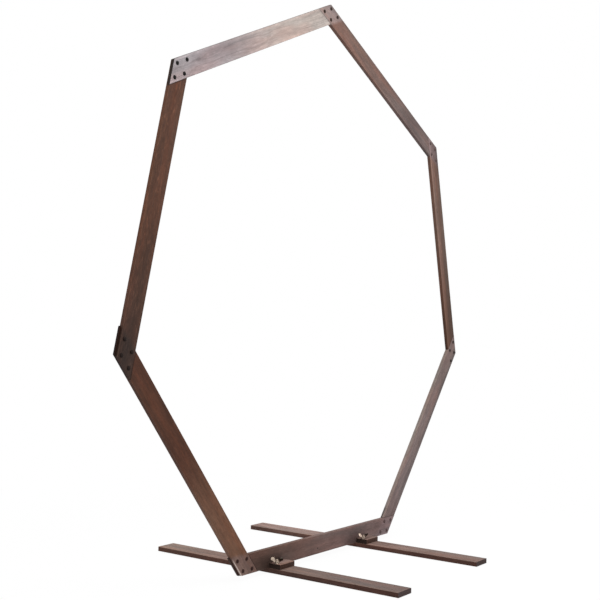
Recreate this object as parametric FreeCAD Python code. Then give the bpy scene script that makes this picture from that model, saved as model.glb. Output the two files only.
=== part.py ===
import FreeCAD, Part
import math
import os
from FreeCAD import Vector

# Wedding arch: a ring of seven equal boards, half-lapped and bolted at the corners, that stands
# on edge across two flat feet. Cleat blocks on the feet hold the bottom board from both sides.
# X runs across the arch, Y from its front to its back, Z up. The origin is on the ground,
# under the middle of the bottom board.

# Ring of boards, measured along the outer edges
side_count = 7
side_length = 1000.0
board_width = 72.0
board_thickness = 16.0
board_edge_round = 1.5

# How far a rear tongue stands out past the board in front of it, where the corner isn't flush
proud_tongues = {"bottom_board": 5.0, "upper_right_board": 5.0, "lower_left_board": 5.0}

# Bolts through each corner lap
bolts_inset = 16.0
bolt_diameter = 6.0
bolt_hole_clearance = 0.3
bolt_head_diameter = 14.0
bolt_head_top_diameter = 9.0
bolt_head_height = 3.5
bolt_washer_diameter = 16.0
bolt_washer_thickness = 1.2
bolt_nut_across_flats = 10.0
bolt_nut_height = 5.0
bolt_tail = 2.5

# Feet, flat boards that run from front to back
foot_length = 1110.0
foot_width = 88.0
foot_thickness = 18.0
foot_spacing = 590.0
foot_edge_round = 1.5

# Cleat blocks, one on each side of the bottom board on each foot
block_depth = 50.0
block_thickness = 18.0
block_edge_round = 1.2

# Stud with a wing nut, near the left end of each block
stud_diameter = 8.0
stud_hole_clearance = 0.4
stud_end_inset = 13.0
stud_depth_in_foot = 13.0
stud_tail = 3.5
stud_washer_diameter = 20.0
stud_washer_thickness = 1.6
wing_hub_base_diameter = 16.0
wing_hub_top_diameter = 12.5
wing_hub_height = 10.0
wing_span = 45.0
wing_height = 22.0
wing_thickness = 3.0
wing_root_height = 2.0
wing_lobe_radius = 7.0
wing_turns = {"left_front": -43.0, "right_front": -12.0, "left_rear": 25.0, "right_rear": -50.0}

# Room past a face for a cut that goes right through it
cut_past = 5.0

turn_angle = 360.0 / side_count
turn = math.radians(turn_angle)
half_thickness = board_thickness / 2.0
lap_depth = board_thickness / 2.0
splay = board_width / math.tan(turn)
lap_run = board_width / math.sin(turn)
ring_radius = side_length / (2.0 * math.sin(turn / 2.0))
ring_apothem = side_length / (2.0 * math.tan(turn / 2.0))
ring_centre_height = foot_thickness + ring_apothem

# Corner names run against the clock from the lower left one, seen from the front
corner_names = [
    "bottom_left",
    "bottom_right",
    "right_lower",
    "right_upper",
    "top",
    "left_upper",
    "left_lower",
]
board_names = [
    "bottom_board",
    "lower_right_board",
    "upper_right_board",
    "top_right_board",
    "top_left_board",
    "upper_left_board",
    "lower_left_board",
]


def flat_prism(points, y_start, y_end):
    """A prism whose outline is drawn in X and Z and that runs along Y."""
    corners = [Vector(x, y_start, z) for x, z in points]
    face = Part.Face(Part.makePolygon(corners + corners[:1]))
    return face.extrude(Vector(0.0, y_end - y_start, 0.0))


def rounded_along(shape, direction, radius):
    """The shape with the straight edges that run along a direction rounded."""
    edges = [
        edge for edge in shape.Edges
        if edge.tangentAt(edge.FirstParameter).cross(direction).Length < 1.0e-6
    ]
    return shape.makeFillet(radius, edges)


def cylinder(radius, start, direction, length):
    return Part.makeCylinder(radius, length, start, direction)


def lap_outline(outer_start, reach):
    """The slanted outline of a lap at a board's second end, drawn past the board's edges."""
    low = -cut_past
    high = board_width + cut_past
    return [
        (outer_start + low / math.tan(turn), low),
        (outer_start + reach + low / math.tan(turn), low),
        (outer_start + reach + high / math.tan(turn), high),
        (outer_start + high / math.tan(turn), high),
    ]


def mirrored_ends(points):
    """Points or an outline at the board's second end, moved to its first end."""
    return [(side_length - x, z) for x, z in points]


def bolt_places():
    """X and Z of the four bolts in the lap at a board's second end."""
    insets = (bolts_inset, board_width - bolts_inset)
    places = []
    for own in insets:
        for neighbour in insets:
            x = side_length + own / math.tan(turn) - neighbour / math.sin(turn)
            places.append((x, own))
    return places


def make_board(proud):
    """One board, lying along X with its outer edge on Z = 0.

    Its second end laps in front of the next board and its first end behind the one before,
    where it may stand proud of that board's outer edge.
    """
    extra = proud / math.sin(turn)
    outline = [
        (-extra, 0.0),
        (side_length, 0.0),
        (side_length + splay, board_width),
        (-splay - extra, board_width),
    ]
    board = flat_prism(outline, -half_thickness, half_thickness)
    board = rounded_along(board, Vector(1.0, 0.0, 0.0), board_edge_round)
    lap = lap_outline(side_length - lap_run, lap_run + extra + cut_past)
    rear_notch = flat_prism(lap, half_thickness - lap_depth, half_thickness + cut_past)
    front_notch = flat_prism(
        mirrored_ends(lap), -half_thickness - cut_past, lap_depth - half_thickness)
    board = board.cut(rear_notch).cut(front_notch)
    hole_radius = bolt_diameter / 2.0 + bolt_hole_clearance
    second_end = bolt_places()
    for x, z in second_end + mirrored_ends(second_end):
        start = Vector(x, -half_thickness - cut_past, z)
        length = board_thickness + 2.0 * cut_past
        board = board.cut(cylinder(hole_radius, start, Vector(0.0, 1.0, 0.0), length))
    return board


def ring_corner(index):
    angle = math.radians(-90.0 - turn_angle / 2.0 + index * turn_angle)
    x = ring_radius * math.cos(angle)
    z = ring_centre_height + ring_radius * math.sin(angle)
    return Vector(x, 0.0, z)


def on_side(shape, index):
    """The shape, drawn on a board that lies along X, moved to that side of the ring."""
    placed = shape.copy()
    rotation = FreeCAD.Rotation(Vector(0.0, -1.0, 0.0), index * turn_angle)
    placed.Placement = FreeCAD.Placement(ring_corner(index), rotation)
    return placed


def low_head(diameter, top_diameter, height, seat):
    """A low round head on the plane Z = seat that narrows towards its top."""
    return Part.makeCone(diameter / 2.0, top_diameter / 2.0, height, Vector(0.0, 0.0, seat))


def hexagon_prism(across_flats, height, seat):
    radius = across_flats / math.sqrt(3.0)
    corners = []
    for step in range(6):
        angle = math.radians(60.0 * step)
        corners.append(Vector(radius * math.cos(angle), radius * math.sin(angle), seat))
    face = Part.Face(Part.makePolygon(corners + corners[:1]))
    return face.extrude(Vector(0.0, 0.0, height))


def make_corner_bolt():
    """A round-headed bolt along Z with its washer and nut, head up at the board's front face."""
    up = Vector(0.0, 0.0, 1.0)
    head = low_head(bolt_head_diameter, bolt_head_top_diameter, bolt_head_height, half_thickness)
    washer_low = -half_thickness - bolt_washer_thickness
    nut_low = washer_low - bolt_nut_height
    tail_low = nut_low - bolt_tail
    shank = cylinder(bolt_diameter / 2.0, Vector(0.0, 0.0, tail_low), up, half_thickness - tail_low)
    washer = cylinder(
        bolt_washer_diameter / 2.0, Vector(0.0, 0.0, washer_low), up, bolt_washer_thickness)
    nut = hexagon_prism(bolt_nut_across_flats, bolt_nut_height, nut_low)
    return head.fuse([shank, washer, nut]).removeSplitter()


def make_corner_bolts():
    """The four bolts of the lap at a board's second end, in that board's own place."""
    facing_front = FreeCAD.Rotation(Vector(1.0, 0.0, 0.0), 90.0)
    bolt = make_corner_bolt()
    bolts = []
    for x, z in bolt_places():
        placed = bolt.copy()
        placed.Placement = FreeCAD.Placement(Vector(x, 0.0, z), facing_front)
        bolts.append(placed)
    return Part.makeCompound(bolts)


def rounded_box(corner, size, radius, direction):
    box = Part.makeBox(size.x, size.y, size.z, corner)
    return rounded_along(box, direction, radius)


def block_centre_y(facing):
    """Middle of a cleat block; facing is -1 in front of the bottom board and 1 behind it."""
    return facing * (half_thickness + block_depth / 2.0)


def stud_x(foot_x):
    return foot_x - foot_width / 2.0 + stud_end_inset


def stud_hole(foot_x, facing):
    """The hole for a block's stud, from above the block down into the foot."""
    low = foot_thickness - stud_depth_in_foot
    high = foot_thickness + block_thickness + cut_past
    start = Vector(stud_x(foot_x), block_centre_y(facing), low)
    radius = stud_diameter / 2.0 + stud_hole_clearance
    return cylinder(radius, start, Vector(0.0, 0.0, 1.0), high - low)


def make_foot(foot_x):
    corner = Vector(foot_x - foot_width / 2.0, -foot_length / 2.0, 0.0)
    size = Vector(foot_width, foot_length, foot_thickness)
    foot = rounded_box(corner, size, foot_edge_round, Vector(0.0, 1.0, 0.0))
    return foot.cut([stud_hole(foot_x, -1), stud_hole(foot_x, 1)])


def make_block(foot_x, facing):
    low_y = block_centre_y(facing) - block_depth / 2.0
    corner = Vector(foot_x - foot_width / 2.0, low_y, foot_thickness)
    size = Vector(foot_width, block_depth, block_thickness)
    block = rounded_box(corner, size, block_edge_round, Vector(1.0, 0.0, 0.0))
    return block.cut(stud_hole(foot_x, facing))


def make_wing():
    """One wing of the nut, from inside its hub outwards along X, with a round upper lobe."""
    core = stud_diameter / 2.0
    lobe_x = wing_span / 2.0 - wing_lobe_radius
    lobe_z = wing_height - wing_lobe_radius
    core_low = Vector(core, 0.0, wing_root_height)
    foot_point = Vector(wing_hub_base_diameter / 2.0, 0.0, wing_root_height)
    outer_point = Vector(lobe_x + wing_lobe_radius, 0.0, lobe_z)
    top_point = Vector(lobe_x, 0.0, wing_height)
    inner_point = Vector(lobe_x - wing_lobe_radius, 0.0, lobe_z)
    core_high = Vector(core, 0.0, wing_hub_height)
    edges = [
        Part.LineSegment(core_low, foot_point).toShape(),
        Part.LineSegment(foot_point, outer_point).toShape(),
        Part.Arc(outer_point, top_point, inner_point).toShape(),
        Part.LineSegment(inner_point, core_high).toShape(),
        Part.LineSegment(core_high, core_low).toShape(),
    ]
    wing = Part.Face(Part.Wire(edges)).extrude(Vector(0.0, wing_thickness, 0.0))
    wing.translate(Vector(0.0, -wing_thickness / 2.0, 0.0))
    return wing


def make_wing_stud(foot_x, facing, wing_turn):
    """A stud up through the block, with a washer and a wing nut on the block's top."""
    x = stud_x(foot_x)
    y = block_centre_y(facing)
    up = Vector(0.0, 0.0, 1.0)
    seat = foot_thickness + block_thickness
    nut_seat = seat + stud_washer_thickness
    low = foot_thickness - stud_depth_in_foot
    high = nut_seat + wing_hub_height + stud_tail
    shank = cylinder(stud_diameter / 2.0, Vector(x, y, low), up, high - low)
    washer = cylinder(stud_washer_diameter / 2.0, Vector(x, y, seat), up, stud_washer_thickness)
    hub = Part.makeCone(
        wing_hub_base_diameter / 2.0, wing_hub_top_diameter / 2.0, wing_hub_height)
    wing = make_wing()
    other_wing = wing.copy()
    other_wing.rotate(Vector(0.0, 0.0, 0.0), up, 180.0)
    nut = hub.fuse([wing, other_wing])
    nut.rotate(Vector(0.0, 0.0, 0.0), up, wing_turn)
    nut.translate(Vector(x, y, nut_seat))
    return shank.fuse([washer, nut]).removeSplitter()


def build():
    """Every node of the arch by name."""
    nodes = {}
    bolts = make_corner_bolts()
    for index, board_name in enumerate(board_names):
        board = make_board(proud_tongues.get(board_name, 0.0))
        nodes[board_name] = on_side(board, index)
        corner_name = corner_names[(index + 1) % side_count]
        nodes[corner_name + "_corner_bolts"] = on_side(bolts, index)
    for foot_side, sign in (("left", -1), ("right", 1)):
        foot_x = sign * foot_spacing / 2.0
        nodes[foot_side + "_foot"] = make_foot(foot_x)
        for face_side, facing in (("front", -1), ("rear", 1)):
            place = foot_side + "_" + face_side
            nodes[place + "_block"] = make_block(foot_x, facing)
            nodes[place + "_wing_stud"] = make_wing_stud(foot_x, facing, wing_turns[place])
    return nodes


os.makedirs("parts", exist_ok=True)
for name, shape in build().items():
    shape.exportStep("parts/" + name + ".step")
    print(name, len(shape.Solids), "solids", round(shape.Volume / 1000.0, 2), "cm3", shape.isValid())
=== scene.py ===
import math

import bmesh
import bpy
from mathutils import Matrix, Vector


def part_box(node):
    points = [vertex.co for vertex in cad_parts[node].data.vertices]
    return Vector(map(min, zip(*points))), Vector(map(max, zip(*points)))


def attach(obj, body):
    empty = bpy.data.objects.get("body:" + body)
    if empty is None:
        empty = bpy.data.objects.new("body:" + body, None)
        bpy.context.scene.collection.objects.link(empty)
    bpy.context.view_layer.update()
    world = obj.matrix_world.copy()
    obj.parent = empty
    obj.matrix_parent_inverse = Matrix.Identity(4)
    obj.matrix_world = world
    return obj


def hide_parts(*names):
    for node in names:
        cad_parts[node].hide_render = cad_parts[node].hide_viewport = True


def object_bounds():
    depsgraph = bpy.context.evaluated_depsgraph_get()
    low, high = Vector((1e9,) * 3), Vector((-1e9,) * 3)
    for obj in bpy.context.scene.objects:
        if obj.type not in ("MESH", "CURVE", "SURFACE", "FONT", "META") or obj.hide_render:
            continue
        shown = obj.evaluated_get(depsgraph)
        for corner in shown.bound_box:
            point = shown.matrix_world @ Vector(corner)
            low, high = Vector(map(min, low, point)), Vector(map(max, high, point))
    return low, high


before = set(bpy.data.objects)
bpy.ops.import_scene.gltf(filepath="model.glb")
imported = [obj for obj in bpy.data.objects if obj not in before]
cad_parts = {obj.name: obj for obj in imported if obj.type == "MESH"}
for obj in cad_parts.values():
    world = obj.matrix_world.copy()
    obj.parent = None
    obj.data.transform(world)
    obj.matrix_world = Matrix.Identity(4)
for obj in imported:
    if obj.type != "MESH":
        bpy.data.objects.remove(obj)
cad_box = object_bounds()

# Ring, worked out from the frame
board_names = [
    "bottom_board",
    "lower_right_board",
    "upper_right_board",
    "top_right_board",
    "top_left_board",
    "upper_left_board",
    "lower_left_board",
]
corner_names = [
    "bottom_left",
    "bottom_right",
    "right_lower",
    "right_upper",
    "top",
    "left_upper",
    "left_lower",
]
side_count = len(board_names)
turn = 2.0 * math.pi / side_count
bottom_low, bottom_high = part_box("bottom_board")
board_width = bottom_high.z - bottom_low.z
half_thickness = bottom_high.y
lap_run = board_width / math.sin(turn)
lap_slope = 1.0 / math.tan(turn)
side_length = 2.0 * (bottom_high.x - board_width / math.tan(turn))
ring_radius = side_length / (2.0 * math.sin(turn / 2.0))
ring_centre_height = bottom_low.z + side_length / (2.0 * math.tan(turn / 2.0))

# Corner bolts, in metres, as on the construction model
bolts_inset = 0.016
bolt_radius = 0.003
bolt_head_radius = 0.007
bolt_head_height = 0.0035
washer_radius = 0.008
washer_thickness = 0.0012
nut_across_flats = 0.010
nut_height = 0.005
bolt_tail = 0.0025
thread_pitch = 0.001
thread_depth = 0.0004
bolt_head_segments = 32
nut_segments = 48
bolt_segments = 24

# Studs with wing nuts on the cleat blocks
stud_radius = 0.004
stud_end_inset = 0.013
stud_tail = 0.0035
stud_washer_radius = 0.010
stud_washer_thickness = 0.0016
wing_hub_base_radius = 0.008
wing_hub_top_radius = 0.00625
wing_hub_height = 0.010
wing_span = 0.045
wing_height = 0.022
wing_thickness = 0.003
wing_bevel = 0.0009
wing_root_height = 0.002
wing_lobe_radius = 0.007
wing_lobe_start = -35.0
wing_lobe_sweep = 225.0
wing_lobe_steps = 12
wing_lean = 27.0
wing_turns = {"left_front": -43.0, "right_front": -12.0, "left_rear": 25.0, "right_rear": -50.0}
wing_hub_segments = 40
stud_segments = 32

# Shape of bolt heads, nuts, washers and threads, as shares of their own sizes
dome_rim = 0.22
dome_foot = 0.93
dome_crown = 0.02
dome_steps = 9
nut_face = 0.98
nut_drop = 0.6
washer_bevel = 0.35
thread_crest = 0.4

# Edges that turn by more than this stay sharp
sharp_angle = math.radians(35.0)

# Camera, solved from the photograph's perspective
camera_place = Vector((-3.2584, -2.2523, 0.8770))
camera_azimuth = 53.927
camera_elevation = 2.001
camera_roll = 1.036
camera_lens = 59.55
camera_sensor = 36.0
camera_reach = 200.0

# Studio
floor_size = 60.0
floor_gap = 0.0006
floor_paint = (0.86, 0.86, 0.86, 1.0)
floor_white_near = 0.94
floor_fade_start = 0.9
floor_fade_end = 2.2
white = (1.0, 1.0, 1.0, 1.0)
sky_light = 0.62
lights_target = (0.0, 0.0, 1.0)
softboxes = [
    ("overhead_softbox", (-0.6, -0.8, 4.6), 4.0, 150.0),
    ("front_softbox", (2.6, -3.4, 2.6), 2.4, 60.0),
]


def srgb(red, green, blue):
    """A colour written as 0 to 255 screen values, as a linear colour."""
    channels = []
    for value in (red, green, blue):
        share = value / 255.0
        if share <= 0.04045:
            channels.append(share / 12.92)
        else:
            channels.append(((share + 0.055) / 1.055) ** 2.4)
    return (channels[0], channels[1], channels[2], 1.0)


# Grain: scale along and across it, the axes that a board's seed shifts, detail and roughness
grain_noises = {
    "sway": (2.4, 9.0, "XZ", 2.0, 0.45),
    "broad": (1.5, 34.0, "XY", 2.0, 0.5),
    "streaks": (3.4, 140.0, "YZ", 4.0, 0.6),
    "fibres": (16.0, 700.0, "YZ", 3.0, 0.65),
    "pores": (60.0, 1500.0, "XZ", 2.0, 0.5),
    "blotches": (5.5, 20.0, "XZ", 3.0, 0.5),
    "flecks": (34.0, 95.0, "XYZ", 3.0, 0.6),
    "glints": (38.0, 210.0, "XZ", 2.0, 0.5),
    "drift": (4.0, 17.0, "YZ", 2.0, 0.5),
    "chips": (22.0, 80.0, "XYZ", 3.0, 0.6),
}

# Values between which each noise goes from none to full
noise_spans = {
    "broad": (0.3, 0.7),
    "warmth": (0.45, 0.7),
    "streaks": (0.28, 0.72),
    "fibres": (0.25, 0.75),
    "pores": (0.60, 0.72),
    "blotches": (0.3, 0.7),
    "flecks": (0.36, 0.64),
    "glints": (0.58, 0.70),
    "drift": (0.35, 0.65),
    "late_wood": (0.53, 0.66),
    "end_pores": (0.35, 0.65),
    "mottle": (0.42, 0.68),
    "gloss": (0.3, 0.7),
}

# Growth rings, knots, and how much the fields lighten or darken the stain
ring_stretch = (1.5, 60.0, 105.0)
ring_sway = 0.11
early_wood_share = 0.35
knot_bulge = 0.012
knot_swirl_reach = 5.0
knot_heart_reach = 0.4
blotch_amount = 0.14
fibre_amount = 0.12
pore_light = 0.74
drift_warm = (1.05, 0.97, 0.96, 1.0)
drift_cool = (0.96, 1.01, 1.03, 1.0)
end_pore_scale = 900.0
end_pore_dark = 0.7
end_pore_light = 1.15

# Which way a surface has to face, along or across the grain, to be end grain or a sawn edge
facing_end = (0.45, 0.6)
facing_edge = (0.6, 0.8)

# Laps: where they begin and end along the board, in lap runs, and through it, in metres
second_lap_start = (1.15, 0.9)
tongue_end = (0.97, 0.9)
tongue_front = (-0.001, 0.0)
seam_depth = (0.001, 0.005)
seam_width = 0.006

# Wear along the arrises and a painted highlight along the outer arris, in metres, and how far
# along the board that highlight takes to begin
chip_size = 0.0018
wear_start = 0.0012
wear_end = 0.0026
bare_start = 0.0019
bare_end = 0.0029
bare_fade = 0.03

# Gloss and relief of stained timber
satin_less = 0.05
satin_more = 0.07
satin_in_pores = 0.12
satin_on_end = 0.2
fibre_relief = 0.5
ring_relief = 0.35
pore_relief = 0.8
wood_relief_depth = 0.0006
wood_relief_strength = 0.35

# Metal
scratch_stretch = (400.0, 90.0, 2200.0)
metal_relief_depth = 0.0002
metal_relief_strength = 0.12
bolt_dust = 0.007
bolt_roughness = 0.6
bolt_specular = 0.1
bolt_mottle_scale = 180.0
zinc_grime = srgb(112, 99, 87)
zinc_roughness = 0.38
zinc_mottle_scale = 220.0
metal_gloss_less = 0.06
metal_gloss_more = 0.1
# Painted shade on one wing of each front wing nut: its reach, the share of it that is darkest, and
# its brightness there
tarnish_size = 0.0125
tarnish_core = 0.65
tarnish_light = 0.12


def ring_corner(index):
    angle = math.radians(-90.0) - turn / 2.0 + index * turn
    x = ring_radius * math.cos(angle)
    z = ring_centre_height + ring_radius * math.sin(angle)
    return Vector((x, 0.0, z))


def side_matrix(index):
    """Places what is drawn on a board that lies along X with its outer edge on Z = 0."""
    return Matrix.Translation(ring_corner(index)) @ Matrix.Rotation(-index * turn, 4, "Y")


class NodeBuilder:
    """Adds and links the shader nodes of a material or world with short calls."""

    def __init__(self, owner, output):
        self.owner = owner
        owner.use_nodes = True
        self.tree = owner.node_tree
        self.tree.nodes.clear()
        self.output = self.tree.nodes.new(output)

    def add(self, kind, values=None, **settings):
        node = self.tree.nodes.new(kind)
        for key, value in settings.items():
            setattr(node, key, value)
        for key, value in (values or {}).items():
            self.set(node.inputs[key], value)
        return node

    def set(self, socket, value):
        if isinstance(value, bpy.types.NodeSocket):
            self.tree.links.new(value, socket)
        else:
            socket.default_value = value

    def math(self, operation, first, second=0.0, third=0.0):
        node = self.add("ShaderNodeMath", {0: first, 1: second, 2: third}, operation=operation)
        return node.outputs[0]

    def product(self, factors):
        result = factors[0]
        for factor in factors[1:]:
            result = self.math("MULTIPLY", result, factor)
        return result

    def distance(self, first, second):
        node = self.add("ShaderNodeVectorMath", {0: first, 1: second}, operation="DISTANCE")
        return node.outputs["Value"]

    def map_range(self, value, low, high, to_low=0.0, to_high=1.0, smooth=True):
        style = "SMOOTHSTEP" if smooth else "LINEAR"
        values = {
            "Value": value,
            "From Min": low,
            "From Max": high,
            "To Min": to_low,
            "To Max": to_high,
        }
        return self.add("ShaderNodeMapRange", values, interpolation_type=style).outputs["Result"]

    def faded(self, share, end):
        """Goes from 1 to an end value while the share goes from 0 to 1."""
        return self.map_range(share, 0.0, 1.0, 1.0, end)

    def varied(self, field, span, amount):
        """Goes from 1 - amount to 1 + amount while the field goes through the span."""
        return self.map_range(field, *span, 1.0 - amount, 1.0 + amount)

    def noise(self, vector, scale, detail, roughness):
        values = {"Vector": vector, "Scale": scale, "Detail": detail, "Roughness": roughness}
        return self.add("ShaderNodeTexNoise", values).outputs["Fac"]

    def mapped(self, vector, kind, **values):
        """A vector scaled, turned and moved by POINT, or the other way round by TEXTURE."""
        values["Vector"] = vector
        return self.add("ShaderNodeMapping", values, vector_type=kind).outputs[0]

    def separate(self, vector):
        node = self.add("ShaderNodeSeparateXYZ", {0: vector})
        return node.outputs[0], node.outputs[1], node.outputs[2]

    def combine(self, x, y, z):
        return self.add("ShaderNodeCombineXYZ", {0: x, 1: y, 2: z}).outputs[0]

    def mix(self, share, first, second, blend="MIX"):
        node = self.add("ShaderNodeMix", data_type="RGBA", blend_type=blend, clamp_factor=True)
        self.set(node.inputs[0], share)
        self.set(node.inputs[6], first)
        self.set(node.inputs[7], second)
        return node.outputs[2]

    def tinted(self, colour, tint, share=1.0):
        return self.mix(share, colour, tint, "MULTIPLY")

    def dimmed(self, colour, light):
        return self.tinted(colour, self.combine(light, light, light))

    def seen_share(self):
        """1 for rays that show a surface as it is seen, 0 for those that only carry light."""
        path = self.add("ShaderNodeLightPath")
        seen = self.math(
            "MAXIMUM", path.outputs["Is Camera Ray"], path.outputs["Is Glossy Ray"])
        return self.math("MAXIMUM", seen, path.outputs["Is Transmission Ray"])

    def surface(self, shader):
        self.tree.links.new(shader.outputs[0], self.output.inputs["Surface"])

    def principled(self, values, relief, strength, depth):
        """Ends the nodes in one shader, whose relief is a bump."""
        bump = self.add(
            "ShaderNodeBump", {"Height": relief, "Strength": strength, "Distance": depth})
        values["Normal"] = bump.outputs[0]
        self.surface(self.add("ShaderNodeBsdfPrincipled", values))


def material_builder(name):
    return NodeBuilder(bpy.data.materials.new(name), "ShaderNodeOutputMaterial")


class Timber:
    """Stained timber: X runs along its grain, Y through its thickness and Z across its width.

    origin and rotation place these axes. Y is 0 in mid thickness, Z on one long edge, which
    is the outer one on a ring board, and X where that edge begins.
    """

    def __init__(self, name, origin, rotation, length, half_depth, width, look):
        self.build = material_builder(name)
        self.length = length
        self.half_depth = half_depth
        self.width = width
        self.look = look
        coordinates = self.build.add("ShaderNodeTexCoord")
        self.place = self.build.mapped(
            coordinates.outputs["Object"], "TEXTURE", Location=origin, Rotation=rotation)
        normal = self.build.mapped(coordinates.outputs["Normal"], "TEXTURE", Rotation=rotation)
        self.x, self.y, self.z = self.build.separate(self.place)
        self.normal_along, _, self.normal_across = self.build.separate(normal)
        self.share = self.build.math("DIVIDE", self.x, length)

    def grain(self, name):
        along, across, shifted_axes, detail, roughness = grain_noises[name]
        seeds = tuple(self.look["seed"] if axis in shifted_axes else 0.0 for axis in "XYZ")
        drawn_out = self.build.mapped(
            self.place, "POINT", Scale=(along, across, across), Location=seeds)
        return self.build.noise(drawn_out, 1.0, detail, roughness)

    def distance_from(self, place):
        """How far a point is from a place on the face, with lengths along the grain halved."""
        build = self.build
        along = build.math("MULTIPLY", build.math("SUBTRACT", self.x, place[0]), 0.5)
        across = build.math("SUBTRACT", self.z, place[1])
        squares = build.math(
            "ADD", build.math("POWER", along, 2.0), build.math("POWER", across, 2.0))
        return build.math("SQRT", squares)

    def knots(self):
        """How far knots push the growth rings aside, and the share of their dark hearts."""
        build = self.build
        bulge = 0.0
        hearts = 0.0
        for place, size in self.look["knots"]:
            distance = self.distance_from(place)
            swirl = build.map_range(distance, size * knot_swirl_reach, 0.0)
            heart = build.map_range(distance, size, size * knot_heart_reach)
            bulge = build.math("MULTIPLY_ADD", swirl, knot_bulge, bulge)
            hearts = build.math("MAXIMUM", heart, hearts)
        return bulge, hearts

    def late_wood(self, bulge):
        """Flame figure: growth rings cut at a low angle, bent round the knots."""
        build = self.build
        wander = build.math("MULTIPLY_ADD", self.grain("sway"), ring_sway, bulge)
        place = build.combine(
            build.math("MULTIPLY", self.x, ring_stretch[0]),
            build.math("MULTIPLY", self.y, ring_stretch[1]),
            build.math("MULTIPLY", build.math("ADD", self.z, wander), ring_stretch[2]))
        shifted = build.mapped(place, "POINT", Location=(self.look["seed"],) * 3)
        return build.map_range(build.noise(shifted, 1.0, 2.0, 0.7), *noise_spans["late_wood"])

    def second_lap(self):
        """Share of the lap at the board's second end, whose seam runs aslant."""
        build = self.build
        from_seam = build.math("SUBTRACT", self.x, build.math("MULTIPLY", self.z, lap_slope))
        begins, ends = (self.length - lap_run * share for share in second_lap_start)
        return build.map_range(from_seam, begins, ends)

    def seam_shade(self):
        """Shade on the face along the first seam, and on the front of the tongue behind it."""
        build = self.build
        past_seam = build.math(
            "MULTIPLY_ADD", self.z, lap_slope, build.math("SUBTRACT", self.x, lap_run))
        shade = build.map_range(past_seam, 0.0, seam_width, self.look["seam"], 1.0)
        return build.math("MAXIMUM", shade, build.map_range(self.y, *seam_depth))

    def brightness(self, broad, streaks, fibres, pores, late_wood, hearts):
        build = self.build
        look = self.look
        middle = self.width / 2.0
        early_wood_light = 1.0 + look["rings"] * early_wood_share
        flecks = build.map_range(self.grain("flecks"), *noise_spans["flecks"], -1.0, 1.0)
        glints = build.map_range(self.grain("glints"), *noise_spans["glints"])
        factors = [
            build.varied(broad, noise_spans["broad"], look["broad"]),
            build.varied(streaks, noise_spans["streaks"], look["streaks"]),
            build.varied(self.grain("blotches"), noise_spans["blotches"], blotch_amount),
            build.varied(fibres, noise_spans["fibres"], fibre_amount),
            build.map_range(late_wood, 0.0, 1.0, early_wood_light, 1.0 - look["rings"]),
            build.math("MULTIPLY_ADD", flecks, look["flecks"], 1.0),
            build.math("MULTIPLY_ADD", glints, look["glints"], 1.0),
            build.map_range(self.z, 0.0, middle, look["outer"], 1.0, smooth=False),
            build.map_range(self.z, middle, self.width, 1.0, look["inner"], smooth=False),
            build.faded(pores, pore_light),
            build.faded(hearts, look["heart"]),
        ]
        # Dark patches: darker stain on some boards, and painted shade and shadow beside the cleat
        # blocks and wing nuts on the bottom board
        for place, size, depth in look["patches"]:
            factors.append(build.map_range(self.distance_from(place), 0.0, size, depth, 1.0))
        if look["seam"]:
            factors.append(self.seam_shade())
        return build.product(factors)

    def stain(self, light, broad, on_lap):
        """One tone that fades into another along the board, and a third on its second lap."""
        build = self.build
        look = self.look
        fade_start, fade_end = look["fade"]
        along = build.map_range(self.share, fade_start, fade_end)
        colour = build.mix(along, look["start"], look["end"])
        if look["tip"]:
            colour = build.mix(on_lap, colour, look["tip"])
        colour = build.dimmed(colour, light)
        drift = build.map_range(self.grain("drift"), *noise_spans["drift"])
        colour = build.tinted(colour, build.mix(drift, drift_warm, drift_cool), look["drift"])
        warmth = build.map_range(broad, *noise_spans["warmth"], 0.0, look["warmth"])
        return build.mix(warmth, colour, build.tinted(colour, look["glow"]))

    def sawn_edges(self, colour, on_lap):
        """The edges, outside and inside the ring, take the stain in their own way. Their tints
        also hold painted light and shade, as light falls on each side, and the tongue's edges are
        darker, partly as painted shade.
        """
        build = self.build
        look = self.look
        along = build.map_range(self.x, lap_run * tongue_end[0], lap_run * tongue_end[1])
        on_tongue = build.math("MULTIPLY", along, build.map_range(self.y, *tongue_front))
        inner_light = build.faded(on_tongue, look["tongue"])
        outer_light = build.math("MULTIPLY", inner_light, build.faded(on_lap, look["lap_edge"]))
        edges = [
            (-1.0, look["outer_tint"], outer_light),
            (1.0, look["inner_tint"], inner_light),
        ]
        for side, tint, light in edges:
            facing = build.math("MULTIPLY", self.normal_across, side)
            edge = build.dimmed(build.tinted(colour, tint), light)
            colour = build.mix(build.map_range(facing, *facing_edge), colour, edge)
        return colour

    def worn_arrises(self, colour):
        """A thin line along the long edges, broken up by noise, and a pale line of painted
        highlight along the outer one.
        """
        build = self.build
        look = self.look
        to_face = build.math("SUBTRACT", self.half_depth, build.math("ABSOLUTE", self.y))
        to_side = build.math("MINIMUM", self.z, build.math("SUBTRACT", self.width, self.z))
        from_arris = build.math("MAXIMUM", to_face, to_side)
        chips = build.math("MULTIPLY", self.grain("chips"), chip_size)
        from_arris = build.math("ADD", from_arris, chips)
        wear = build.map_range(from_arris, wear_end, wear_start, 0.0, look["wear"])
        colour = build.mix(wear, colour, look["worn"])
        # Painted highlight: a pale line along the outer arris towards the board's second end
        if look["bare_from"]:
            from_outer_arris = build.math("MAXIMUM", to_face, self.z)
            bare = build.map_range(from_outer_arris, bare_end, bare_start)
            begun = build.map_range(
                self.share, look["bare_from"], look["bare_from"] + bare_fade)
            colour = build.mix(build.math("MULTIPLY", bare, begun), colour, look["bare"])
        return colour

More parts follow.
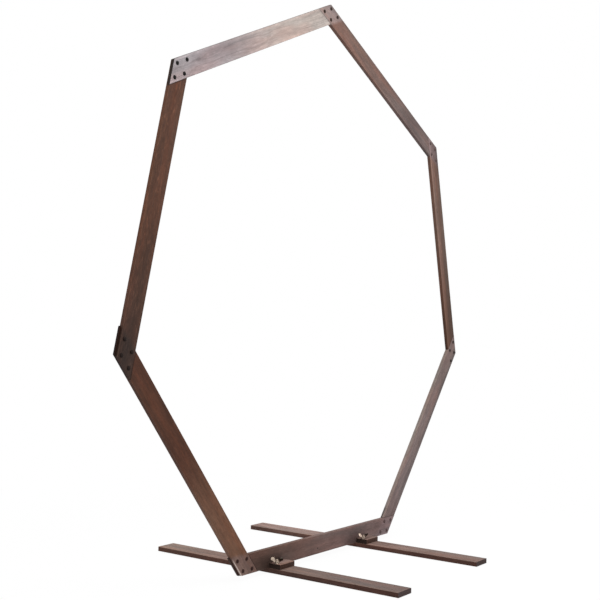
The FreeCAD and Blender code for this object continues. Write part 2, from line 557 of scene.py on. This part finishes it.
    def material(self):
        build = self.build
        look = self.look
        broad = self.grain("broad")
        streaks = self.grain("streaks")
        fibres = self.grain("fibres")
        pores = build.map_range(self.grain("pores"), *noise_spans["pores"])
        bulge, hearts = self.knots()
        late_wood = self.late_wood(bulge)
        on_lap = self.second_lap()
        light = self.brightness(broad, streaks, fibres, pores, late_wood, hearts)
        colour = self.stain(light, broad, on_lap)
        colour = self.sawn_edges(colour, on_lap)
        colour = self.worn_arrises(colour)

        # End grain: dark, with open pores
        is_end = build.map_range(build.math("ABSOLUTE", self.normal_along), *facing_end)
        end_pores = build.noise(self.place, end_pore_scale, 2.0, 0.6)
        end_light = build.map_range(
            end_pores, *noise_spans["end_pores"], end_pore_dark, end_pore_light)
        colour = build.mix(is_end, colour, build.dimmed(look["end_grain"], end_light))

        # Satin stain: duller in the pores and on the end grain
        satin = look["roughness"]
        roughness = build.map_range(
            streaks, *noise_spans["gloss"], satin - satin_less, satin + satin_more)
        roughness = build.math("MULTIPLY_ADD", pores, satin_in_pores, roughness)
        roughness = build.math("MULTIPLY_ADD", is_end, satin_on_end, roughness)

        relief = build.math(
            "MULTIPLY_ADD", fibres, fibre_relief, build.math("MULTIPLY", late_wood, ring_relief))
        relief = build.math("SUBTRACT", relief, build.math("MULTIPLY", pores, pore_relief))
        build.principled({
            "Base Color": colour,
            "Roughness": roughness,
            "Specular IOR Level": look["specular"],
        }, relief, wood_relief_strength, wood_relief_depth)
        return build.owner


def metal_material(name, tone, metallic, roughness, grime, scale, specular=0.5, tarnish=None):
    """Plated or blackened metal with faint mottling and fine scratches.

    The last argument is the middle of a spot of painted shade, if there is one. It darkens the
    metal round it as if it stood in shade.
    """
    build = material_builder(name)
    place = build.add("ShaderNodeTexCoord").outputs["Object"]
    mottle = build.noise(place, scale, 4.0, 0.6)
    stretched = build.mapped(place, "POINT", Scale=scratch_stretch)
    scratches = build.noise(stretched, 1.0, 3.0, 0.7)
    colour = build.mix(build.map_range(mottle, *noise_spans["mottle"]), tone, grime)
    # Painted shade: a soft dark spot round one lobe of the wing nut
    if tarnish:
        distance = build.distance(place, tarnish)
        light = build.map_range(
            distance, tarnish_size * tarnish_core, tarnish_size, tarnish_light, 1.0)
        colour = build.dimmed(colour, light)
    build.principled({
        "Base Color": colour,
        "Metallic": metallic,
        "Roughness": build.map_range(
            mottle, *noise_spans["gloss"], roughness - metal_gloss_less,
            roughness + metal_gloss_more),
        "Specular IOR Level": specular,
    }, scratches, metal_relief_strength, metal_relief_depth)
    return build.owner


def board_look(seed, start, end, **changes):
    """A board's stain, start and end being its tones at its first and second ends.

    fade says where along it one goes over into the other, and tip is its second lap's tone.
    outer and inner are the brightness of its face along the ring's outer and inner edge.
    knots have a place and a size; dark patches, of stain or of painted shade, have a place, a size
    and a brightness.
    """
    look = {
        "seed": seed,
        "start": start,
        "end": end,
        "tip": None,
        "fade": (0.0, 1.0),
        "knots": [],
        "heart": 0.4,
        "patches": [],
        "drift": 1.0,
        "rings": 0.2,
        "broad": 0.12,
        "streaks": 0.16,
        "warmth": 0.5,
        "glow": srgb(255, 216, 190),
        "flecks": 0.08,
        "glints": 0.15,
        "outer": 1.0,
        "inner": 1.0,
        # Tints of the sawn edges, which also hold painted light and shade on each side
        "outer_tint": (0.60, 0.54, 0.52, 1.0),
        "inner_tint": (0.60, 0.54, 0.52, 1.0),
        "tongue": 0.5,
        "lap_edge": 1.0,
        "seam": 0.4,
        "wear": 0.3,
        "worn": srgb(132, 104, 90),
        # Where along the board a painted highlight on the outer arris begins, and its pale colour
        "bare_from": None,
        "bare": srgb(186, 172, 164),
        "end_grain": srgb(60, 44, 40),
        "roughness": 0.55,
        "specular": 0.12,
    }
    look.update(changes)
    return look


# Stain of each ring board, with painted light and shade in it: the edge tints, the bottom board's
# shaded patches and the top left board's sheen
board_looks = {
    "bottom_board": board_look(
        1.3, srgb(85, 64, 56), srgb(104, 86, 83), fade=(0.08, 0.85), tip=srgb(112, 94, 94),
        warmth=0.15, streaks=0.08, rings=0.06, inner_tint=(0.95, 0.92, 0.9, 1.0),
        knots=[((0.47, 0.022), 0.004)],
        # The first two patches are painted shade to the left of each cleat block, the last two a
        # painted shadow beside each front wing nut
        patches=[
            ((0.14, 0.02), 0.058, 0.54), ((0.72, 0.012), 0.06, 0.6),
            ((0.218, 0.025), 0.016, 0.42), ((0.808, 0.025), 0.013, 0.5)]),
    "lower_right_board": board_look(
        2.7, srgb(105, 90, 88), srgb(101, 86, 83), warmth=0.2, rings=0.08, streaks=0.1,
        # Inner edge tint over 1: painted light on the inner edge
        outer=0.88, inner=1.12, inner_tint=(1.35, 1.5, 1.42, 1.0)),
    "upper_right_board": board_look(
        3.9, srgb(65, 45, 35), srgb(89, 69, 60), fade=(0.1, 0.6), tip=srgb(92, 78, 77),
        warmth=0.4, rings=0.1, streaks=0.12, outer=0.97, inner=1.95, glints=0.4,
        inner_tint=(0.57, 0.52, 0.5, 1.0), knots=[((0.7, 0.05), 0.004)]),
    "top_right_board": board_look(
        5.1, srgb(95, 81, 78), srgb(104, 82, 74), fade=(0.2, 0.75), tip=srgb(128, 116, 114),
        warmth=0.4, broad=0.1, streaks=0.1, rings=0.1, outer=0.82, inner=1.18,
        inner_tint=(0.7, 0.7, 0.72, 1.0)),
    # Its pale grey tones are partly a painted sheen, the light its grain reflects
    "top_left_board": board_look(
        6.4, srgb(158, 145, 138), srgb(137, 126, 127), fade=(0.3, 0.8), tip=srgb(144, 134, 135),
        warmth=0.1, broad=0.13, streaks=0.06, rings=0.15, flecks=0.06, wear=0.6,
        worn=srgb(104, 93, 90), outer=1.25, inner=1.15, end_grain=srgb(46, 38, 35),
        knots=[((0.885, 0.028), 0.009)], heart=0.74,
        patches=[
            ((0.86, 0.03), 0.02, 0.86), ((0.70, 0.026), 0.03, 0.88), ((0.05, 0.02), 0.03, 0.8),
            ((0.17, 0.016), 0.05, 0.9)],
        outer_tint=(0.32, 0.33, 0.34, 1.0), inner_tint=(0.4, 0.36, 0.34, 1.0)),
    "upper_left_board": board_look(
        7.8, srgb(79, 50, 36), srgb(64, 43, 34), fade=(0.45, 0.95), tip=srgb(53, 38, 32),
        warmth=0.35, broad=0.1, rings=0.08, streaks=0.07, flecks=0.14, glints=0.6, drift=0.4,
        # Outer edge tint over 1: painted light on the outer edge
        outer_tint=(1.35, 1.4, 1.45, 1.0), lap_edge=0.6),
    "lower_left_board": board_look(
        9.2, srgb(74, 45, 32), srgb(101, 72, 56), fade=(0.45, 0.78), tip=srgb(104, 83, 76),
        warmth=0.35, broad=0.1, rings=0.08, streaks=0.08, flecks=0.1, drift=0.5,
        outer_tint=(0.9, 0.92, 0.95, 1.0), tongue=0.3, end_grain=srgb(37, 23, 21),
        bare_from=0.91),
}
flat_look = {
    # Sides of the feet: darker stain and painted shade
    "outer_tint": (0.42, 0.30, 0.27, 1.0),
    "inner_tint": (0.42, 0.30, 0.27, 1.0),
    "tongue": 1.0,
    "seam": 0.0,
    "wear": 0.55,
    "worn": srgb(150, 127, 112),
    "broad": 0.14,
    "warmth": 0.4,
}
foot_looks = {
    "left_foot": board_look(
        11.5, srgb(101, 83, 77), srgb(117, 96, 86), end_grain=srgb(66, 53, 52),
        knots=[((0.18, 0.05), 0.005)], **flat_look),
    "right_foot": board_look(
        12.9, srgb(102, 84, 77), srgb(134, 112, 104), end_grain=srgb(60, 47, 45), **flat_look),
}
block_tone = srgb(121, 100, 92)
block_look = {
    **flat_look,
    # Sides of the blocks: darker stain and painted shade on the faces the light misses
    "outer_tint": (0.29, 0.2, 0.16, 1.0),
    "inner_tint": (0.29, 0.2, 0.16, 1.0),
    "wear": 0.25,
    "end_grain": srgb(42, 30, 25),
}
first_block_seed = 15.7
block_seed_step = 1.7

# Tone of the blackened bolts at each corner: some are blacker than others
bolt_tones = {
    "bottom_left": srgb(42, 22, 18),
    "bottom_right": srgb(76, 59, 58),
    "right_lower": srgb(26, 20, 18),
    "right_upper": srgb(76, 62, 60),
    "top": srgb(48, 34, 29),
    "left_upper": srgb(6, 3, 3),
    "left_lower": srgb(26, 14, 10),
}
# Zinc of the wing nuts on each side; the right side's darker tone is painted shade, which dulls
# its highlight
nut_tones = {"left": srgb(176, 161, 146), "right": srgb(152, 136, 124)}


def paint(node, material):
    """Puts a material in every slot of a construction node."""
    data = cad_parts[node].data
    if not data.materials:
        data.materials.append(material)
    for index in range(len(data.materials)):
        data.materials[index] = material


def paint_boards():
    for index, node in enumerate(board_names):
        timber = Timber(
            "stain_" + node, ring_corner(index), (0.0, -index * turn, 0.0), side_length,
            half_thickness, board_width, board_looks[node])
        paint(node, timber.material())


def paint_flat_piece(node, look, grain):
    """Stains a foot or block, a board that lies flat with its grain along X or Y."""
    low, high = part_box(node)
    size = high - low
    mid_height = (low.z + high.z) / 2.0
    if grain == "X":
        origin = Vector((low.x, low.y, mid_height))
        axes = Matrix(((1.0, 0.0, 0.0), (0.0, 0.0, 1.0), (0.0, -1.0, 0.0)))
        length, width = size.x, size.y
    else:
        origin = Vector((high.x, low.y, mid_height))
        axes = Matrix(((0.0, 0.0, -1.0), (1.0, 0.0, 0.0), (0.0, -1.0, 0.0)))
        length, width = size.y, size.x
    timber = Timber(
        "stain_" + node, origin, axes.to_euler("XYZ"), length, size.z / 2.0, width, look)
    paint(node, timber.material())


def paint_feet_and_blocks():
    seed = first_block_seed
    for side in ("left", "right"):
        paint_flat_piece(side + "_foot", foot_looks[side + "_foot"], "Y")
        for face in ("front", "rear"):
            look = board_look(seed, block_tone, block_tone, **block_look)
            paint_flat_piece(side + "_" + face + "_block", look, "X")
            seed += block_seed_step


def new_piece(name, mesh_data, material, replaced):
    piece = bpy.data.objects.new(name, mesh_data)
    bpy.context.scene.collection.objects.link(piece)
    piece.data.materials.append(material)
    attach(piece, "root")
    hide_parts(replaced)


def lathe(mesh, profile, segments, matrix, shape=None):
    """Turns a profile of (radius, height) points about Z; shape(angle, radius) may reshape it."""
    rings = []
    for radius, height in profile:
        ring = []
        for step in range(segments):
            angle = 2.0 * math.pi * step / segments
            reach = shape(angle, radius) if shape else radius
            point = Vector((reach * math.cos(angle), reach * math.sin(angle), height))
            ring.append(mesh.verts.new(matrix @ point))
        rings.append(ring)
    for lower, upper in zip(rings, rings[1:]):
        for step in range(segments):
            after = (step + 1) % segments
            mesh.faces.new((lower[step], lower[after], upper[after], upper[step]))
    mesh.faces.new(list(reversed(rings[0])))
    mesh.faces.new(rings[-1])


def hexagon(across_flats):
    """A reshaping that turns circles into hexagons once they reach the flats."""
    def shape(angle, radius):
        sector = math.pi / 3.0
        off_centre = (angle % sector) - sector / 2.0
        return min(radius, across_flats / 2.0 / math.cos(off_centre))
    return shape


def dome_profile(radius, height, seat):
    """A low round head whose rim stands on the plane Z = seat."""
    rim = height * dome_rim
    rise = height - rim
    points = [(radius * dome_foot, seat), (radius, seat + rim * 0.5)]
    for step in range(dome_steps):
        angle = math.pi / 2.0 * step / dome_steps
        points.append((radius * math.cos(angle), seat + rim + rise * math.sin(angle)))
    points.append((radius * dome_crown, seat + height))
    return points


def thread_profile(radius, low, high):
    """A turned bar with thread ridges and a chamfered lower end, from low to high."""
    points = [(radius - 2.0 * thread_depth, low), (radius - thread_depth, low + thread_depth)]
    height = low + thread_depth
    while height + thread_pitch < high:
        points.append((radius, height + thread_pitch * thread_crest))
        points.append((radius - thread_depth, height + thread_pitch))
        height += thread_pitch
    points.append((radius, high))
    return points


def nut_profile(across_flats, low, high):
    """A nut's outline through two opposite corners, chamfered at both faces."""
    corner = across_flats / math.sqrt(3.0)
    chamfer = corner - across_flats / 2.0 * nut_face
    drop = chamfer * nut_drop
    return [
        (corner - chamfer, low),
        (corner, low + drop),
        (corner, high - drop),
        (corner - chamfer, high),
    ]


def washer_profile(radius, low, high):
    bevel = (high - low) * washer_bevel
    return [
        (radius - bevel, low),
        (radius, low + bevel),
        (radius, high - bevel),
        (radius - bevel, high),
    ]


def wing_hub_profile():
    """The wing nut's hub, which tapers towards its top."""
    return [
        (wing_hub_base_radius * 0.96, 0.0),
        (wing_hub_base_radius, 0.0006),
        (wing_hub_base_radius * 0.97, wing_hub_height * 0.25),
        (wing_hub_top_radius * 1.04, wing_hub_height * 0.8),
        (wing_hub_top_radius * 0.9, wing_hub_height),
        (stud_radius, wing_hub_height),
    ]


def bolt_places():
    """X and Z of the four bolts in the lap at a board's second end."""
    insets = (bolts_inset, board_width - bolts_inset)
    places = []
    for own in insets:
        for neighbour in insets:
            x = side_length + own / math.tan(turn) - neighbour / math.sin(turn)
            places.append((x, own))
    return places


def smooth_mesh(mesh, name):
    """Finishes a bmesh as mesh data with smooth faces and sharp edges."""
    bmesh.ops.recalc_face_normals(mesh, faces=mesh.faces)
    for face in mesh.faces:
        face.smooth = True
    for edge in mesh.edges:
        if len(edge.link_faces) == 2 and edge.calc_face_angle(0.0) > sharp_angle:
            edge.smooth = False
    data = bpy.data.meshes.new(name)
    mesh.to_mesh(data)
    mesh.free()
    return data


def add_corner_bolt(mesh, matrix):
    """A round-headed bolt with washer, nut and threaded tail, its head towards +Z."""
    washer_low = -half_thickness - washer_thickness
    nut_low = washer_low - nut_height
    tail_low = nut_low - bolt_tail
    head = dome_profile(bolt_head_radius, bolt_head_height, half_thickness)
    washer = washer_profile(washer_radius, washer_low, -half_thickness)
    nut = nut_profile(nut_across_flats, nut_low, washer_low)
    tail = thread_profile(bolt_radius, tail_low, nut_low)
    shank = [(bolt_radius, -half_thickness), (bolt_radius, half_thickness)]
    lathe(mesh, head, bolt_head_segments, matrix)
    lathe(mesh, washer, bolt_head_segments, matrix)
    lathe(mesh, nut, nut_segments, matrix, hexagon(nut_across_flats))
    lathe(mesh, tail, bolt_segments, matrix)
    lathe(mesh, shank, bolt_segments, matrix)


def make_corner_bolts():
    facing_front = Matrix.Rotation(math.radians(90.0), 4, "X")
    for index in range(side_count):
        mesh = bmesh.new()
        for x, z in bolt_places():
            place = side_matrix(index) @ Matrix.Translation((x, 0.0, z)) @ facing_front
            add_corner_bolt(mesh, place)
        corner = corner_names[(index + 1) % side_count]
        tone = bolt_tones[corner]
        dusty = tuple(channel + bolt_dust for channel in tone[:3]) + (1.0,)
        black = metal_material(
            "blackened_steel_" + corner, tone, 0.0, bolt_roughness, dusty, bolt_mottle_scale,
            specular=bolt_specular)
        name = corner + "_corner_bolts"
        new_piece(name + "_detail", smooth_mesh(mesh, name), black, name)


def wing_outline():
    """One wing's outline in X and Z: a stalk from inside the hub that ends in a round lobe."""
    centre_x = wing_span / 2.0 - wing_lobe_radius
    centre_z = wing_height - wing_lobe_radius
    points = [(stud_radius, wing_root_height), (wing_hub_base_radius, wing_root_height)]
    for step in range(wing_lobe_steps + 1):
        angle = math.radians(wing_lobe_start + wing_lobe_sweep * step / wing_lobe_steps)
        x = centre_x + wing_lobe_radius * math.cos(angle)
        points.append((x, centre_z + wing_lobe_radius * math.sin(angle)))
    points.append((stud_radius, wing_hub_height))
    return points


def add_wing(mesh, matrix):
    """One wing, leaning off upright; the other one, turned half round, leans the other way."""
    half = wing_thickness / 2.0
    outline = wing_outline()
    root = Matrix.Translation((0.0, 0.0, wing_hub_height / 2.0))
    lean = Matrix.Rotation(math.radians(wing_lean), 4, "X")
    matrix = matrix @ root @ lean @ root.inverted()
    near = [mesh.verts.new(matrix @ Vector((x, -half, z))) for x, z in outline]
    far = [mesh.verts.new(matrix @ Vector((x, half, z))) for x, z in outline]
    faces = [mesh.faces.new(near), mesh.faces.new(list(reversed(far)))]
    for step in range(len(outline)):
        after = (step + 1) % len(outline)
        mesh.faces.new((near[after], near[step], far[step], far[after]))
    rim = [edge for face in faces for edge in face.edges]
    bmesh.ops.bevel(
        mesh, geom=rim, offset=wing_bevel, segments=3, profile=0.6, affect="EDGES")


def stud_place(place):
    """X and Y of a block's stud, and the height of the block's top."""
    low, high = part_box(place + "_block")
    return low.x + stud_end_inset, (low.y + high.y) / 2.0, high.z


def dark_wing_place(side):
    """Middle of the lobe, on the wing nut in front of the bottom board, that is darkened by
    painted shade.
    """
    x, y, block_top = stud_place(side + "_front")
    angle = math.radians(wing_turns[side + "_front"])
    reach = wing_span / 2.0 - wing_lobe_radius
    height = block_top + stud_washer_thickness + wing_height - wing_lobe_radius
    return (x + reach * math.cos(angle), y + reach * math.sin(angle), height)


def add_wing_stud(mesh, place):
    x, y, block_top = stud_place(place)
    nut_seat = block_top + stud_washer_thickness
    tip = nut_seat + wing_hub_height + stud_tail
    half_turn = Matrix.Rotation(math.pi, 4, "Z")
    upright = Matrix.Translation((x, y, 0.0))
    turned = Matrix.Rotation(math.radians(wing_turns[place]), 4, "Z")
    nut = Matrix.Translation((x, y, nut_seat)) @ turned
    over = Matrix.Translation((x, y, tip)) @ Matrix.Rotation(math.pi, 4, "X")
    washer = washer_profile(stud_washer_radius, block_top, nut_seat)
    thread = thread_profile(stud_radius, 0.0, tip - block_top)
    lathe(mesh, washer, wing_hub_segments, upright)
    lathe(mesh, wing_hub_profile(), wing_hub_segments, nut)
    add_wing(mesh, nut)
    add_wing(mesh, nut @ half_turn)
    lathe(mesh, thread, stud_segments, over)


def make_wing_studs():
    for side in ("left", "right"):
        # Zinc plate, with painted shade on one wing of the front nut
        bright = metal_material(
            "zinc_plate_" + side, nut_tones[side], 1.0, zinc_roughness, zinc_grime,
            zinc_mottle_scale, tarnish=dark_wing_place(side))
        for face in ("front", "rear"):
            place = side + "_" + face
            mesh = bmesh.new()
            add_wing_stud(mesh, place)
            name = place + "_wing_stud"
            new_piece(name + "_detail", smooth_mesh(mesh, name), bright, name)


def studio_floor():
    """A pale floor that shows white to the camera, apart from the arch's soft shadow."""
    mesh = bmesh.new()
    bmesh.ops.create_grid(mesh, x_segments=1, y_segments=1, size=floor_size / 2.0)
    data = bpy.data.meshes.new("studio_floor")
    mesh.to_mesh(data)
    mesh.free()
    floor = bpy.data.objects.new("studio_floor", data)
    floor.location = (0.0, 0.0, cad_box[0][2] - floor_gap)
    bpy.context.scene.collection.objects.link(floor)
    build = material_builder("studio_floor")
    place = build.add("ShaderNodeTexCoord").outputs["Object"]
    distance = build.distance(place, (0.0, 0.0, 0.0))
    white_share = build.map_range(
        distance, floor_fade_start, floor_fade_end, floor_white_near, 1.0)
    paint_white = build.add("ShaderNodeBsdfDiffuse", {"Color": floor_paint})
    glow = build.add("ShaderNodeEmission", {"Color": white, "Strength": 1.0})
    share = build.math("MULTIPLY", build.seen_share(), white_share)
    build.surface(build.add("ShaderNodeMixShader", {
        0: share,
        1: paint_white.outputs[0],
        2: glow.outputs[0],
    }))
    floor.data.materials.append(build.owner)


def studio_world():
    """A sky that shows white, but lights the arch less than that."""
    world = bpy.data.worlds.new("studio")
    bpy.context.scene.world = world
    build = NodeBuilder(world, "ShaderNodeOutputWorld")
    strength = build.map_range(build.seen_share(), 0.0, 1.0, sky_light, 1.0, smooth=False)
    build.surface(build.add("ShaderNodeBackground", {"Color": white, "Strength": strength}))


def area_light(name, place, size, power):
    light = bpy.data.lights.new(name, "AREA")
    light.shape = "RECTANGLE"
    light.size = size
    light.size_y = size
    light.energy = power
    lamp = bpy.data.objects.new(name, light)
    lamp.location = place
    to_target = Vector(lights_target) - Vector(place)
    lamp.rotation_euler = to_target.to_track_quat("-Z", "Y").to_euler()
    bpy.context.scene.collection.objects.link(lamp)


def studio_camera():
    azimuth = math.radians(camera_azimuth)
    elevation = math.radians(camera_elevation)
    roll = math.radians(camera_roll)
    forward = Vector((
        math.sin(azimuth) * math.cos(elevation),
        math.cos(azimuth) * math.cos(elevation),
        math.sin(elevation),
    ))
    level_right = Vector((math.cos(azimuth), -math.sin(azimuth), 0.0))
    level_up = level_right.cross(forward)
    right = level_right * math.cos(roll) + level_up * math.sin(roll)
    up = right.cross(forward)
    camera_data = bpy.data.cameras.new("studio_camera")
    camera_data.lens = camera_lens
    camera_data.sensor_width = camera_sensor
    camera_data.clip_end = camera_reach
    camera = bpy.data.objects.new("studio_camera", camera_data)
    axes = Matrix((right, up, -forward)).transposed()
    camera.matrix_world = Matrix.Translation(camera_place) @ axes.to_4x4()
    bpy.context.scene.collection.objects.link(camera)
    bpy.context.scene.camera = camera


def build_scene():
    paint_boards()
    paint_feet_and_blocks()
    make_corner_bolts()
    make_wing_studs()
    studio_floor()
    studio_world()
    for name, place, size, power in softboxes:
        area_light(name, place, size, power)
    studio_camera()
    bpy.context.scene.view_settings.view_transform = "Standard"


build_scene()
